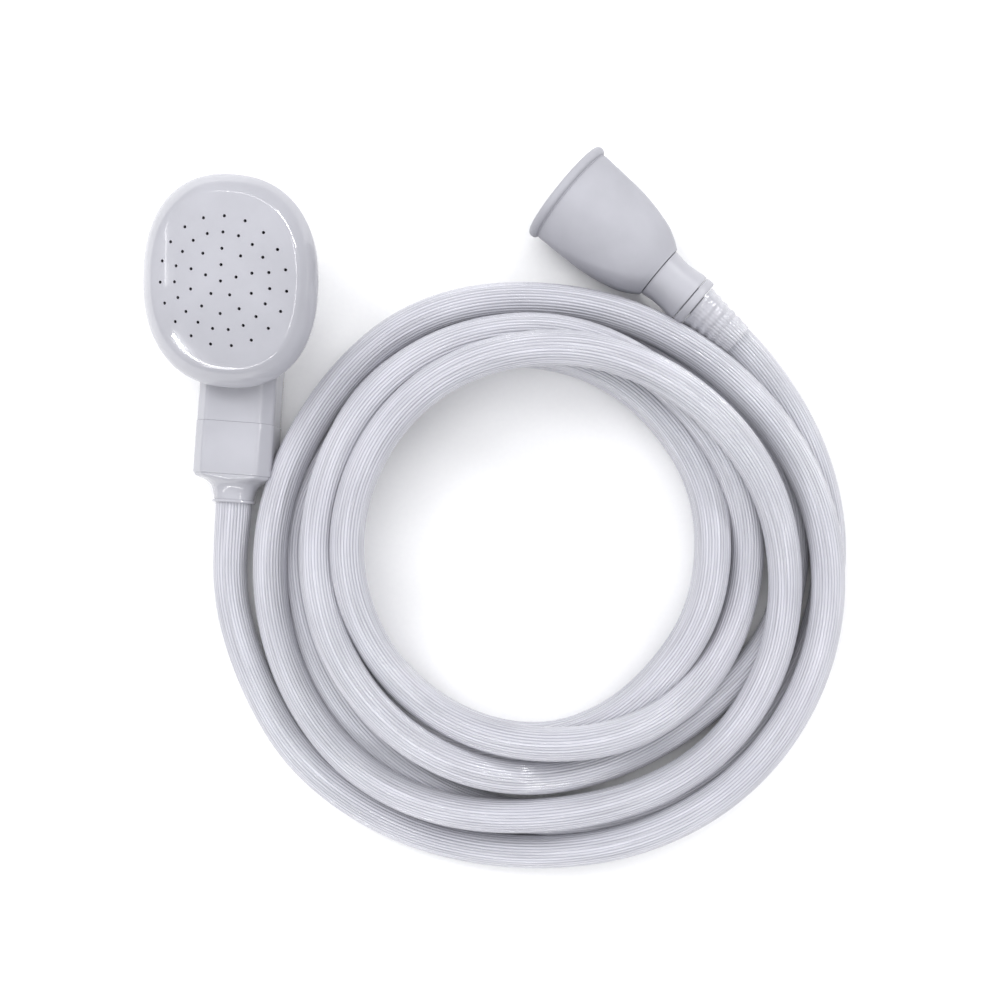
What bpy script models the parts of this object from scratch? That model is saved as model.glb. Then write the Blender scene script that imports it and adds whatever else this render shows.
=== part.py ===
"""A handheld bath sprayer: spray head, swivel collar, coiled hose and rubber tap cup.

Frame: +Y runs along the neck towards the crown of the head, +Z is the way the water sprays,
and the origin is under the middle of the handset, on the surface that it lies on.
"""
import math

import bmesh
import bpy
from mathutils import Matrix, Vector

MM = 0.001
GAP = 0.3 * MM
MERGE = 0.00001
OBJECT_NAME = "handheld_bath_sprayer"

# Spray head: an oval, domed rose, tilted on the end of its neck.
HEAD_HALF_WIDTH = 34.8 * MM
HEAD_HALF_LENGTH = 41.6 * MM
HEAD_SQUARENESS = 2.3
HEAD_CENTRE = Vector((0.0, 22.0 * MM, 50.0 * MM))
HEAD_TILT = math.radians(10)
HEAD_SIDES = 40
WALL = 2.0 * MM
DOME_HEIGHT = 9.0 * MM
SHELL_SPLIT = -6.0 * MM
BOWL_DEPTH = 32.0 * MM

# Spray holes: one in the middle and four rings around it.
HOLE_RADIUS = 0.6 * MM
HOLE_PITCH = 6.2 * MM
HOLE_RINGS = (5, 10, 19, 19)

# Neck and collar: an eight-sided section around the swivel axis.
AXIS_HEIGHT = 13.0 * MM
NECK_HALF_WIDTH = 15.9 * MM
NECK_CHAMFER = 4.8 * MM
NECK_WALL = 2.2 * MM
SEAM = -30.5 * MM
COLLAR_LENGTH = 21.7 * MM
COLLAR_WEB = 3.0 * MM
CAP_LENGTH = 11.7 * MM

# Hose and the barbed fittings inside its ends.
HOSE_RADIUS = 7.0 * MM
HOSE_BORE_RADIUS = 5.3 * MM
WATERWAY_RADIUS = 3.2 * MM
STEM_RADIUS = 5.2 * MM
STEM_BORE_RADIUS = 5.5 * MM
BARB_RADIUS = 5.0 * MM
BARB_ROOT_RADIUS = 4.4 * MM
BARB_PITCH = 4.0 * MM

# Coil of hose, as one closed ring with its hole off centre.
COIL_CENTRE = Vector((134.5 * MM, -86.5 * MM))
COIL_RADIUS = 117.0 * MM
COIL_HOLE_CENTRE = Vector((126.2 * MM, -74.8 * MM))
COIL_HOLE_RADIUS = 69.0 * MM
COIL_HEIGHT = 42.0 * MM

# Tap adapter: distances along its axis start at the mouth of the cup.
CUP_MOUTH = Vector((128.8 * MM, 75.0 * MM, 22.9 * MM))
ADAPTER_END = Vector((187.6 * MM, 31.9 * MM, 19.5 * MM))
CUP_LENGTH = 51.9 * MM
NECK_SLEEVE_START = 52.2 * MM
NECK_SLEEVE_END = 68.7 * MM
FLANGE_START = 69.0 * MM
FLANGE_END = 72.8 * MM
CUFF_START = 73.1 * MM
CUFF_END = 95.0 * MM

GLOSSY = 0.22
SATIN = 0.4
MATTE = 0.6
LILAC_WHITE = (0.55, 0.55, 0.62)
HOSE_WHITE = (0.66, 0.66, 0.70)
RUBBER_GREY = (0.50, 0.50, 0.56)
CLEAR_GREY = (0.62, 0.62, 0.66)
SEAL_BLACK = (0.03, 0.03, 0.03)
STEEL = (0.6, 0.6, 0.6)


def clear_scene():
    for thing in list(bpy.data.objects):
        bpy.data.objects.remove(thing, do_unlink=True)


def new_collection(name):
    collection = bpy.data.collections.new(name)
    bpy.context.scene.collection.children.link(collection)
    return collection


def paint(thing, colour, roughness, metallic=0.0):
    material = bpy.data.materials.new(thing.name + "_material")
    material.use_nodes = True
    shader = material.node_tree.nodes["Principled BSDF"]
    shader.inputs["Base Color"].default_value = (*colour, 1.0)
    shader.inputs["Roughness"].default_value = roughness
    shader.inputs["Metallic"].default_value = metallic
    material.diffuse_color = (*colour, 1.0)
    thing.data.materials.clear()
    thing.data.materials.append(material)


def add_object(name, data, collection):
    thing = bpy.data.objects.new(name, data)
    collection.objects.link(thing)
    return thing


def evaluated_mesh(thing):
    """The object's mesh with its modifiers applied, as a mesh of its own."""
    depsgraph = bpy.context.evaluated_depsgraph_get()
    return bpy.data.meshes.new_from_object(thing.evaluated_get(depsgraph))


def turned(name, profile, collection, sides=32, closed=False):
    """Turns (radius, height) points about local Z; the profile runs down its outer side."""
    mesh = bpy.data.meshes.new(name)
    points = [(radius, 0.0, height) for radius, height in profile]
    edges = [(index, index + 1) for index in range(len(points) - 1)]
    if closed:
        edges.append((len(points) - 1, 0))
    mesh.from_pydata(points, edges, [])
    thing = add_object(name, mesh, collection)
    screw = thing.modifiers.new("turn", "SCREW")
    screw.steps = sides
    screw.render_steps = sides
    screw.use_merge_vertices = True
    screw.merge_threshold = MERGE
    thing.data = evaluated_mesh(thing)
    thing.modifiers.clear()
    return thing


def make_oval(thing):
    """Stretches a round turned shape into the head's squarish oval outline."""
    stretch = HEAD_HALF_LENGTH / HEAD_HALF_WIDTH
    power = 2.0 / HEAD_SQUARENESS
    for vertex in thing.data.vertices:
        radius = math.hypot(vertex.co.x, vertex.co.y)
        if radius > MERGE:
            across = vertex.co.x / radius
            along = vertex.co.y / radius
            vertex.co.x = radius * math.copysign(abs(across) ** power, across)
            vertex.co.y = stretch * radius * math.copysign(abs(along) ** power, along)


def cut(target, cutter, operation="DIFFERENCE"):
    boolean = target.modifiers.new(operation.lower(), "BOOLEAN")
    boolean.operation = operation
    boolean.solver = "EXACT"
    boolean.object = cutter
    cutter.hide_render = True
    cutter.display_type = "WIRE"


def smooth(thing, sharp_angle=35):
    thing.data.shade_smooth()
    thing.data.set_sharp_from_angle(angle=math.radians(sharp_angle))


def head_frame():
    return Matrix.Translation(HEAD_CENTRE) @ Matrix.Rotation(HEAD_TILT, 4, "X")


def swivel_frame():
    """Local Z runs along +Y on the swivel axis."""
    return Matrix.Translation((0.0, 0.0, AXIS_HEIGHT)) @ Matrix.Rotation(math.radians(-90), 4, "X")


def adapter_frame():
    """Local Z runs out of the cup's mouth, which is at local zero."""
    axis = (CUP_MOUTH - ADAPTER_END).normalized()
    return Matrix.Translation(CUP_MOUTH) @ axis.to_track_quat("Z", "X").to_matrix().to_4x4()


def eight_sided(half_width, bottom, top, chamfer, y, roundness=0.0, round_radius=0.0):
    """Points around an eight-sided section at y, blended towards a circle by roundness."""
    middle = (bottom + top) / 2
    half_height = (top - bottom) / 2
    flat_x = half_width - chamfer
    flat_z = half_height - chamfer
    corners = [(half_width, flat_z), (flat_x, half_height), (-flat_x, half_height), (-half_width, flat_z),
               (-half_width, -flat_z), (-flat_x, -half_height), (flat_x, -half_height), (half_width, -flat_z)]
    points = []
    for index, start in enumerate(corners):
        end = corners[(index + 1) % len(corners)]
        for step in range(4):
            point = Vector(start).lerp(Vector(end), step / 4)
            point = point.lerp(point.normalized() * round_radius, roundness)
            points.append(Vector((point.x, y, middle + point.y)))
    return points


def loft(name, sections, collection):
    """Joins equal-sized rings of points, ordered along +Y, into one closed body."""
    bm = bmesh.new()
    rings = [[bm.verts.new(point) for point in section] for section in sections]
    count = len(rings[0])
    for near, far in zip(rings, rings[1:]):
        for index in range(count):
            after = (index + 1) % count
            bm.faces.new((near[index], near[after], far[after], far[index]))
    bm.faces.new(list(reversed(rings[0])))
    bm.faces.new(rings[-1])
    bmesh.ops.recalc_face_normals(bm, faces=bm.faces)
    mesh = bpy.data.meshes.new(name)
    bm.to_mesh(mesh)
    bm.free()
    return add_object(name, mesh, collection)


def cylinder_cutter(name, radius, start, end, cutters):
    """A round cutter on the swivel axis between two places along Y."""
    bpy.ops.mesh.primitive_cylinder_add(vertices=24, radius=radius, depth=end - start)
    cutter = bpy.context.object
    cutter.name = name
    for collection in list(cutter.users_collection):
        collection.objects.unlink(cutter)
    cutters.objects.link(cutter)
    cutter.matrix_world = swivel_frame() @ Matrix.Translation((0.0, 0.0, (start + end) / 2))
    return cutter


def hole_places():
    """Centres of the spray holes in the head's own plane."""
    places = [Vector((0.0, 0.0))]
    for ring, count in enumerate(HOLE_RINGS, start=1):
        for index in range(count):
            angle = math.tau * index / count
            places.append(Vector((math.sin(angle), math.cos(angle))) * ring * HOLE_PITCH)
    return places


def make_face_plate(parts, cutters):
    outer = [(0.0, DOME_HEIGHT), (8 * MM, 8.5 * MM), (16 * MM, 7.0 * MM), (22 * MM, 5.2 * MM),
             (26 * MM, 3.6 * MM), (29.5 * MM, 2.0 * MM), (32.4 * MM, -0.2 * MM), (34.1 * MM, -2.8 * MM),
             (HEAD_HALF_WIDTH, SHELL_SPLIT + GAP)]
    inner = [(HEAD_HALF_WIDTH - WALL, SHELL_SPLIT + GAP), (32.0 * MM, -3.2 * MM), (30.2 * MM, -1.2 * MM),
             (26 * MM, 1.2 * MM), (20 * MM, 3.8 * MM), (10 * MM, 6.3 * MM), (0.0, DOME_HEIGHT - WALL)]
    plate = turned("face_plate", outer + inner, parts, HEAD_SIDES)
    make_oval(plate)
    plate.matrix_world = head_frame()
    bm = bmesh.new()
    for place in hole_places():
        bmesh.ops.create_cone(bm, cap_ends=True, segments=6, radius1=HOLE_RADIUS, radius2=HOLE_RADIUS,
                              depth=2 * DOME_HEIGHT, matrix=Matrix.Translation((place.x, place.y, 0.0)))
    mesh = bpy.data.meshes.new("spray_hole_cutter")
    bm.to_mesh(mesh)
    bm.free()
    holes = add_object("spray_hole_cutter", mesh, cutters)
    holes.matrix_world = head_frame()
    cut(plate, holes)
    smooth(plate)
    paint(plate, LILAC_WHITE, GLOSSY)


def bowl_profile(wall):
    """The bowl's side from its rim to its back, taken in by the wall on the inside."""
    rim = HEAD_HALF_WIDTH - wall
    back = -BOWL_DEPTH + wall
    depth = SHELL_SPLIT - back
    steps = 8
    profile = []
    for step in range(steps + 1):
        angle = math.radians(90 * step / steps)
        radius = rim * math.cos(angle) ** 0.85 if step < steps else 0.0
        profile.append((radius, SHELL_SPLIT - depth * math.sin(angle)))
    return profile


def neck_sections(wall, start):
    """The neck runs flat under the head, then rises and narrows into the bowl."""
    places = [(start, 0.0, 26.0, 15.9), (6.0, 0.0, 28.0, 15.9), (15.0, 2.5, 34.0, 15.5),
              (23.0, 8.0, 37.0, 14.2), (30.0, 16.0, 39.0, 11.5), (35.0 - wall / MM, 24.0, 39.0, 8.0)]
    sections = []
    for y, bottom, top, half_width in places:
        sections.append(eight_sided(half_width * MM - wall, bottom * MM + wall, top * MM - wall,
                                    NECK_CHAMFER - 0.4 * wall, y * MM))
    return sections


def make_rear_shell(parts, cutters):
    shell = turned("rear_shell", [(0.0, SHELL_SPLIT)] + bowl_profile(0.0), parts, HEAD_SIDES)
    make_oval(shell)
    shell.matrix_world = head_frame()
    neck = loft("neck_outside_cutter", neck_sections(0.0, (SEAM + GAP / 2) / MM), cutters)
    cut(shell, neck, "UNION")
    above = SHELL_SPLIT + 1.0 * MM
    inside = bowl_profile(WALL)
    inside = [(0.0, above), (inside[0][0], above)] + inside
    hollow = turned("bowl_inside_cutter", inside, cutters, HEAD_SIDES)
    make_oval(hollow)
    hollow.matrix_world = head_frame()
    cut(shell, hollow)
    channel = loft("neck_inside_cutter", neck_sections(NECK_WALL, SEAM / MM - 1.0), cutters)
    cut(shell, channel)
    smooth(shell)
    paint(shell, LILAC_WHITE, GLOSSY)


def make_face_gasket(parts):
    inner = HEAD_HALF_WIDTH - 2 * WALL - 1.2 * MM
    outer = HEAD_HALF_WIDTH - WALL - 0.9 * MM
    top = SHELL_SPLIT + 1.0 * MM
    bottom = SHELL_SPLIT - 1.4 * MM
    gasket = turned("face_gasket", [(inner, top), (outer, top), (outer, bottom), (inner, bottom)], parts,
                    HEAD_SIDES, closed=True)
    make_oval(gasket)
    gasket.matrix_world = head_frame()
    paint(gasket, SEAL_BLACK, MATTE)


def make_swivel_socket(parts, cutters):
    start = SEAM + GAP
    end = SEAM + 8.3 * MM
    inset = NECK_WALL + GAP
    sections = [eight_sided(NECK_HALF_WIDTH - inset, inset, 26 * MM - inset, NECK_CHAMFER - 0.4 * inset, y)
                for y in (start, end)]
    socket = loft("swivel_socket", sections, parts)
    cut(socket, cylinder_cutter("socket_bore_cutter", STEM_BORE_RADIUS, start - MM, end + MM, cutters))
    seat_depth = 2.8 * MM
    seat_radius = 7.9 * MM
    cut(socket, cylinder_cutter("seal_seat_cutter", seat_radius, end - seat_depth, end + MM, cutters))
    smooth(socket)
    paint(socket, LILAC_WHITE, SATIN)


def make_swivel_o_ring(parts):
    bpy.ops.mesh.primitive_torus_add(major_radius=6.7 * MM, minor_radius=1.05 * MM, major_segments=24,
                                     minor_segments=6)
    ring = bpy.context.object
    ring.name = "swivel_o_ring"
    for collection in list(ring.users_collection):
        collection.objects.unlink(ring)
    parts.objects.link(ring)
    ring.matrix_world = swivel_frame() @ Matrix.Translation((0.0, 0.0, SEAM + 6.9 * MM))
    ring.data.shade_smooth()
    paint(ring, SEAL_BLACK, MATTE)


def barbs(start, end):
    """Saw-tooth rings down the outside of a hose barb, as (radius, height) points."""
    profile = []
    height = start
    while height - BARB_PITCH > end:
        profile.append((BARB_RADIUS, height))
        profile.append((BARB_ROOT_RADIUS, height - BARB_PITCH + 0.4 * MM))
        height -= BARB_PITCH
    profile.append((BARB_ROOT_RADIUS, end))
    return profile


def make_hose_nipple(parts):
    flange_top = SEAM + 10.6 * MM
    flange_bottom = SEAM + 8.6 * MM
    groove_top = SEAM - COLLAR_WEB - 0.4 * MM
    groove_bottom = groove_top - 1.6 * MM
    end = SEAM - COLLAR_LENGTH - CAP_LENGTH + 3.0 * MM
    flange_radius = 9.0 * MM
    groove_radius = 4.6 * MM
    profile = [(WATERWAY_RADIUS, flange_top), (flange_radius, flange_top), (flange_radius, flange_bottom),
               (STEM_RADIUS, flange_bottom), (STEM_RADIUS, groove_top), (groove_radius, groove_top),
               (groove_radius, groove_bottom), (STEM_RADIUS, groove_bottom),
               (STEM_RADIUS, groove_bottom - 1.0 * MM)]
    profile += barbs(groove_bottom - 2.0 * MM, end) + [(WATERWAY_RADIUS, end)]
    nipple = turned("hose_nipple", profile, parts, 20, closed=True)
    nipple.matrix_world = swivel_frame()
    smooth(nipple)
    paint(nipple, LILAC_WHITE, SATIN)


def make_filter_screen(parts, cutters):
    start = SEAM + 10.9 * MM
    thickness = 0.8 * MM
    radius = 7.0 * MM
    screen = turned("filter_screen", [(0.0, start + thickness), (radius, start + thickness), (radius, start),
                                      (0.0, start)], parts, 24)
    screen.matrix_world = swivel_frame()
    bm = bmesh.new()
    pitch = 2.6 * MM
    for ring, count in ((0, 1), (1, 6)):
        for index in range(count):
            angle = math.tau * index / count
            place = (ring * pitch * math.cos(angle), ring * pitch * math.sin(angle), start)
            bmesh.ops.create_cone(bm, cap_ends=True, segments=6, radius1=1.0 * MM, radius2=1.0 * MM,
                                  depth=4 * MM, matrix=Matrix.Translation(place))
    mesh = bpy.data.meshes.new("screen_hole_cutter")
    bm.to_mesh(mesh)
    bm.free()
    holes = add_object("screen_hole_cutter", mesh, cutters)
    holes.matrix_world = swivel_frame()
    cut(screen, holes)
    paint(screen, STEEL, SATIN, 1.0)


def make_collar(parts, cutters):
    start = SEAM - GAP / 2
    end = SEAM - COLLAR_LENGTH
    half_width = NECK_HALF_WIDTH + 0.2 * MM
    sections = [eight_sided(half_width, 0.0, 26 * MM, NECK_CHAMFER, y) for y in (end, start)]
    collar = loft("collar", sections, parts)
    pocket = [eight_sided(NECK_HALF_WIDTH - NECK_WALL, NECK_WALL, 26 * MM - NECK_WALL,
                          NECK_CHAMFER - 0.4 * NECK_WALL, y) for y in (end - MM, start - COLLAR_WEB)]
    cut(collar, loft("collar_pocket_cutter", pocket, cutters))
    cut(collar, cylinder_cutter("collar_bore_cutter", STEM_BORE_RADIUS, start - 2 * COLLAR_WEB, start + MM,
                                cutters))
    smooth(collar)
    paint(collar, LILAC_WHITE, GLOSSY)


def make_collar_clip(parts):
    """A split ring in the nipple's groove, under the collar's web."""
    top = SEAM - COLLAR_WEB - 0.6 * MM
    bottom = top - 1.2 * MM
    points = [(4.9 * MM, 0.0, top), (7.4 * MM, 0.0, top), (7.4 * MM, 0.0, bottom), (4.9 * MM, 0.0, bottom)]
    mesh = bpy.data.meshes.new("collar_clip")
    mesh.from_pydata(points, [], [(0, 1, 2, 3)])
    clip = add_object("collar_clip", mesh, parts)
    screw = clip.modifiers.new("turn", "SCREW")
    screw.angle = math.radians(300)
    screw.steps = 24
    screw.render_steps = 24
    clip.data = evaluated_mesh(clip)
    clip.modifiers.clear()
    close_ends(clip.data)
    clip.matrix_world = swivel_frame()
    paint(clip, STEEL, SATIN, 1.0)


def close_ends(mesh):
    """Fills the open ends of a part-turned body and points its faces outwards."""
    bm = bmesh.new()
    bm.from_mesh(mesh)
    bmesh.ops.remove_doubles(bm, verts=bm.verts, dist=MERGE)
    open_edges = [edge for edge in bm.edges if edge.is_boundary]
    bmesh.ops.holes_fill(bm, edges=open_edges, sides=4)
    bmesh.ops.recalc_face_normals(bm, faces=bm.faces)
    bm.to_mesh(mesh)
    bm.free()


def make_end_cap(parts, cutters):
    """The boot: a flange on the collar's end that sweeps in to a short sleeve round the hose."""
    start = SEAM - COLLAR_LENGTH - GAP
    sleeve = 8.2 * MM
    stations = [(CAP_LENGTH - GAP, 1.0, sleeve), (7.8 * MM, 1.0, 8.4 * MM), (4.8 * MM, 1.0, 9.3 * MM),
                (2.6 * MM, 0.85, 11.3 * MM), (1.2 * MM, 0.0, 0.0), (0.0, 0.0, 0.0)]
    sections = []
    for distance, roundness, radius in stations:
        sections.append(eight_sided(15.4 * MM, 0.5 * MM, 25.5 * MM, NECK_CHAMFER, start - distance,
                                    roundness, radius))
    cap = loft("end_cap", sections, parts)
    bore = 7.4 * MM
    cut(cap, cylinder_cutter("cap_bore_cutter", bore, start - CAP_LENGTH - MM, start + MM, cutters))
    smooth(cap)
    paint(cap, LILAC_WHITE, GLOSSY)


def tube_on_swivel(name, outer, inner, start, end, parts):
    tube = turned(name, [(inner, end), (outer, end), (outer, start), (inner, start)], parts, 24, closed=True)
    tube.matrix_world = swivel_frame()
    smooth(tube)
    return tube


def make_head_fittings(parts):
    mouth = SEAM - COLLAR_LENGTH - CAP_LENGTH
    hose_end = tube_on_swivel("hose_head_end", HOSE_RADIUS, HOSE_BORE_RADIUS, mouth, SEAM - 7.5 * MM, parts)
    paint(hose_end, HOSE_WHITE, GLOSSY)
    ferrule = tube_on_swivel("head_ferrule", 8.0 * MM, 7.3 * MM, SEAM - 18 * MM, SEAM - 9.5 * MM, parts)
    paint(ferrule, STEEL, SATIN, 1.0)


def curve_through(points, spacing):
    """Even points along a smooth curve that passes through all the given points."""
    padded = [2 * points[0] - points[1]] + points + [2 * points[-1] - points[-2]]
    fine = []
    for before, start, end, after in zip(padded, padded[1:], padded[2:], padded[3:]):
        steps = max(2, round((end - start).length / spacing))
        for step in range(steps):
            t = step / steps
            fine.append(0.5 * (2 * start + (end - before) * t
                               + (2 * before - 5 * start + 4 * end - after) * t * t
                               + (3 * start - before - 3 * end + after) * t ** 3))
    return fine + [points[-1]]


def hose_run(name, route, parts):
    curve = bpy.data.curves.new(name, "CURVE")
    curve.dimensions = "3D"
    curve.bevel_depth = HOSE_RADIUS
    curve.bevel_resolution = 4
    curve.use_fill_caps = True
    points = curve_through([Vector(place) * MM for place in route], 2.2 * HOSE_RADIUS)
    spline = curve.splines.new("POLY")
    spline.points.add(len(points) - 1)
    for spline_point, point in zip(spline.points, points):
        spline_point.co = (*point, 1.0)
    run = add_object(name, curve, parts)
    paint(run, HOSE_WHITE, GLOSSY)


def make_hose(parts, cutters):
    hose_run("hose_head_tail", [(0, -64.8, 13), (0, -69, 12.8), (-0.6, -77, 10.4), (-1.3, -88, 7.7),
                                (-0.6, -98, 7.3), (4.6, -119, 7.3), (20.4, -150.3, 7.3), (44, -176.2, 7.3),
                                (52, -182, 7.3)], parts)
    hose_run("hose_tap_tail", [(206.3, 18.2, 18.4), (210.2, 15.4, 18.1), (214.5, 12, 17.2),
                               (219.5, 7.6, 15.2), (225.8, 1.2, 12)], parts)
    bpy.ops.mesh.primitive_cylinder_add(vertices=48, radius=COIL_RADIUS, depth=COIL_HEIGHT)
    coil = bpy.context.object
    coil.name = "hose_coil"
    bpy.ops.mesh.primitive_cylinder_add(vertices=36, radius=COIL_HOLE_RADIUS, depth=2 * COIL_HEIGHT)
    hole = bpy.context.object
    hole.name = "coil_hole_cutter"
    for thing, home in ((coil, parts), (hole, cutters)):
        for collection in list(thing.users_collection):
            collection.objects.unlink(thing)
        home.objects.link(thing)
    coil.location = (*COIL_CENTRE, COIL_HEIGHT / 2)
    hole.location = (*COIL_HOLE_CENTRE, COIL_HEIGHT / 2)
    cut(coil, hole)
    edge = coil.modifiers.new("rounded edge", "BEVEL")
    edge.width = 5.0 * MM
    edge.segments = 1
    edge.limit_method = "ANGLE"
    edge.angle_limit = math.radians(50)
    paint(coil, HOSE_WHITE, GLOSSY)


def on_adapter(name, profile, parts, sides=32):
    """Turns (radius, distance from the cup's mouth) points about the adapter's axis."""
    thing = turned(name, [(radius * MM, -distance) for radius, distance in profile], parts, sides,
                   closed=True)
    thing.matrix_world = adapter_frame()
    smooth(thing)
    return thing


def make_tap_cup(parts):
    outside = [(21.9, 0.0), (22.7, 1.0), (22.7, 2.8), (22.0, 3.7), (20.9, 3.9), (21.4, 5.4), (20.9, 14.5),
               (20.3, 25.0), (19.2, 33.0), (18.2, 37.5), (16.6, 43.4), (14.1, 48.4), (12.0, 51.5),
               (11.5, CUP_LENGTH / MM)]
    inside = [(7.2, CUP_LENGTH / MM), (7.2, 46.0), (11.5, 45.0), (14.6, 40.0), (16.8, 32.0), (18.0, 18.0),
              (19.0, 6.0), (19.6, 0.0)]
    profile = [(radius, distance * MM) for radius, distance in outside + inside]
    cup = on_adapter("tap_cup", profile, parts)
    paint(cup, RUBBER_GREY, MATTE)


def make_adapter(parts):
    sleeve = [(7.2, NECK_SLEEVE_START), (11.0, NECK_SLEEVE_START), (10.5, 56 * MM), (10.3, 60 * MM),
              (10.8, 65 * MM), (11.2, NECK_SLEEVE_END), (7.2, NECK_SLEEVE_END)]
    paint(on_adapter("cup_neck", sleeve, parts), LILAC_WHITE, SATIN)
    waterway = WATERWAY_RADIUS / MM
    connector = [(waterway, 45 * MM), (5.6, 45 * MM), (6.9, 48 * MM), (5.8, 48.4 * MM), (6.9, 55 * MM),
                 (5.8, 55.4 * MM), (6.9, 62 * MM), (5.8, 62.4 * MM), (5.8, FLANGE_START),
                 (11.1, FLANGE_START), (11.1, FLANGE_END), (4.4, FLANGE_END), (5.0, 79 * MM),
                 (4.4, 79.4 * MM), (5.0, 85 * MM), (4.4, 85.4 * MM), (5.0, 91 * MM), (4.2, 92.5 * MM),
                 (waterway, 92.5 * MM)]
    paint(on_adapter("tap_connector", connector, parts, 20), LILAC_WHITE, GLOSSY)


def make_tap_cuff(parts):
    """The swollen end of the hose, with crimp ripples over the barbs inside it."""
    inside = HOSE_BORE_RADIUS / MM
    ripple = 0.35
    length = CUFF_END - CUFF_START
    profile = [(inside, CUFF_START)]
    steps = 15
    for step in range(steps + 1):
        share = step / steps
        radius = 9.5 - 2.2 * share ** 0.8 + ripple * math.sin(share * 5 * math.tau)
        profile.append((max(radius, HOSE_RADIUS / MM), CUFF_START + share * length))
    profile.append((inside, CUFF_END))
    paint(on_adapter("hose_tap_cuff", profile, parts, 24), CLEAR_GREY, GLOSSY)


def build():
    clear_scene()
    parts = new_collection(OBJECT_NAME)
    cutters = new_collection("cutters")
    make_face_plate(parts, cutters)
    make_rear_shell(parts, cutters)
    make_face_gasket(parts)
    make_swivel_socket(parts, cutters)
    make_swivel_o_ring(parts)
    make_hose_nipple(parts)
    make_filter_screen(parts, cutters)
    make_collar(parts, cutters)
    make_collar_clip(parts)
    make_end_cap(parts, cutters)
    make_head_fittings(parts)
    make_hose(parts, cutters)
    make_tap_cup(parts)
    make_adapter(parts)
    make_tap_cuff(parts)


build()
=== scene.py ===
"""Looks of the handheld bath sprayer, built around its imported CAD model. Metres, +Z up."""
import math

import bmesh
import bpy
import numpy as np
from mathutils import Matrix, Vector


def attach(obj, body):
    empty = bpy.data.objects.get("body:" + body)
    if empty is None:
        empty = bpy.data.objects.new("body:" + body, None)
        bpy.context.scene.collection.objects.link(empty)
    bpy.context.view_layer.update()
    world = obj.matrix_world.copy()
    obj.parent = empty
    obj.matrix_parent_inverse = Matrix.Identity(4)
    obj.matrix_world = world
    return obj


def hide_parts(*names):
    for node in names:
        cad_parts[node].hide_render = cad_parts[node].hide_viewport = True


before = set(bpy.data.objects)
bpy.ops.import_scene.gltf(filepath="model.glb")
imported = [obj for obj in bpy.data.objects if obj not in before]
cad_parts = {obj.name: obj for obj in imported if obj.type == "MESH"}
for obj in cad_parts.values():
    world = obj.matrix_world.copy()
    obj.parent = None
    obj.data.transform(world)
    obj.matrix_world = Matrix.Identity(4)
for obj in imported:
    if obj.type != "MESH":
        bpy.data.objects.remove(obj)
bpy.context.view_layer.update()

MM = 0.001
MERGE_DISTANCE = 0.000002
HANDSET = "spray_head"
HOSE_SET = "hose_set"

# The camera hangs straight above the floor, turned a little about the vertical. Millimetres.
CAMERA_PLACE = (140.55, -77.5, 580)
CAMERA_TURN = 4.13
VIEW_ACROSS = 425.7
VIEW_SHIFT = (-70 / 990, 65 / 990)
SENSOR = 36

# Soft boxes: name, place in metres, width, length, watts, and whether glossy surfaces mirror it.
LIGHTS_AIM = (0.11, -0.05, 0.0)
SOFT_BOXES = (
    ("upper_left_box", (-0.75, 0.55, 1.0), 0.45, 1.1, 9.0, False),
    ("overhead_box", (0.15, 0.1, 1.6), 1.3, 1.3, 11.5, False),
    ("lower_left_strip", (-0.55, -0.85, 0.75), 0.9, 0.02, 3.0, True),
    ("upper_right_strip", (0.95, 0.75, 0.8), 0.9, 0.05, 7.0, True),
    ("left_strip", (-1.0, 0.1, 0.8), 0.5, 0.02, 0.25, True),
    ("right_strip", (0.85, -0.1, 1.0), 1.2, 0.03, 2.0, True),
    ("top_strip", (0.1, 1.0, 0.9), 1.2, 0.03, 2.0, True),
    ("near_strip", (0.1, -1.0, 0.6), 1.2, 0.06, 3.0, True),
)
SKY_COLOUR = (0.95, 0.96, 1.0, 1)
SKY_STRENGTH = 0.42
FLOOR_SIDE = 6
FLOOR_PLACE = (0.1, 0, -0.0002)

# Base colours.
LILAC = (0.405, 0.405, 0.44)
RUBBER_GREY = (0.375, 0.375, 0.41)
SATIN_GREY = (0.40, 0.40, 0.435)
SEAL_BLACK = (0.02, 0.02, 0.02)
CUFF_GREY = (0.47, 0.47, 0.51)
HOSE_GREY = (0.545, 0.545, 0.59)
WHITE = (1, 1, 1)

# The head's own frame and sizes.
HEAD_CENTRE = Vector((0.0, 0.0220, 0.0500))
HEAD_TILT = math.radians(10)
HEAD_HALF_WIDTH = 34.8
HEAD_STRETCH = 41.6 / 34.8
HEAD_SQUARENESS = 2.3
HEAD_BACK = -32.0
SPLIT = -6.0
SPLIT_GAP = 0.15
HOLE_RINGS = (5, 10, 19, 19)
HOLE_PITCH = 6.2
HOLE_RADIUS = 0.62
CENTRE_RADIUS = 0.02

# The neck, the collar and the end cap lie along the swivel axis.
AXIS_HEIGHT = 13.0
SEAM = -30.5
SEAM_GAP = 0.03
COLLAR_END = -52.2
COLLAR_HALF_WIDTH = 16.1
COLLAR_TOP = 26
NECK_CHAMFER = 4.8
WALL = 2.0
CHANNEL_WALL = 2.2

# The adapter's axis runs from the cup's mouth to the hose.
CUP_MOUTH = Vector((128.8, 75.0, 22.9))
ADAPTER_END = Vector((187.6, 31.9, 19.5))
CUFF_START = 73.0
CUFF_END = 95.0
CUFF_STEPS = 110
CUFF_BORE = 5.4
RIPPLE_DEPTH = 0.3
RIPPLE_COUNT = 5.5

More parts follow.
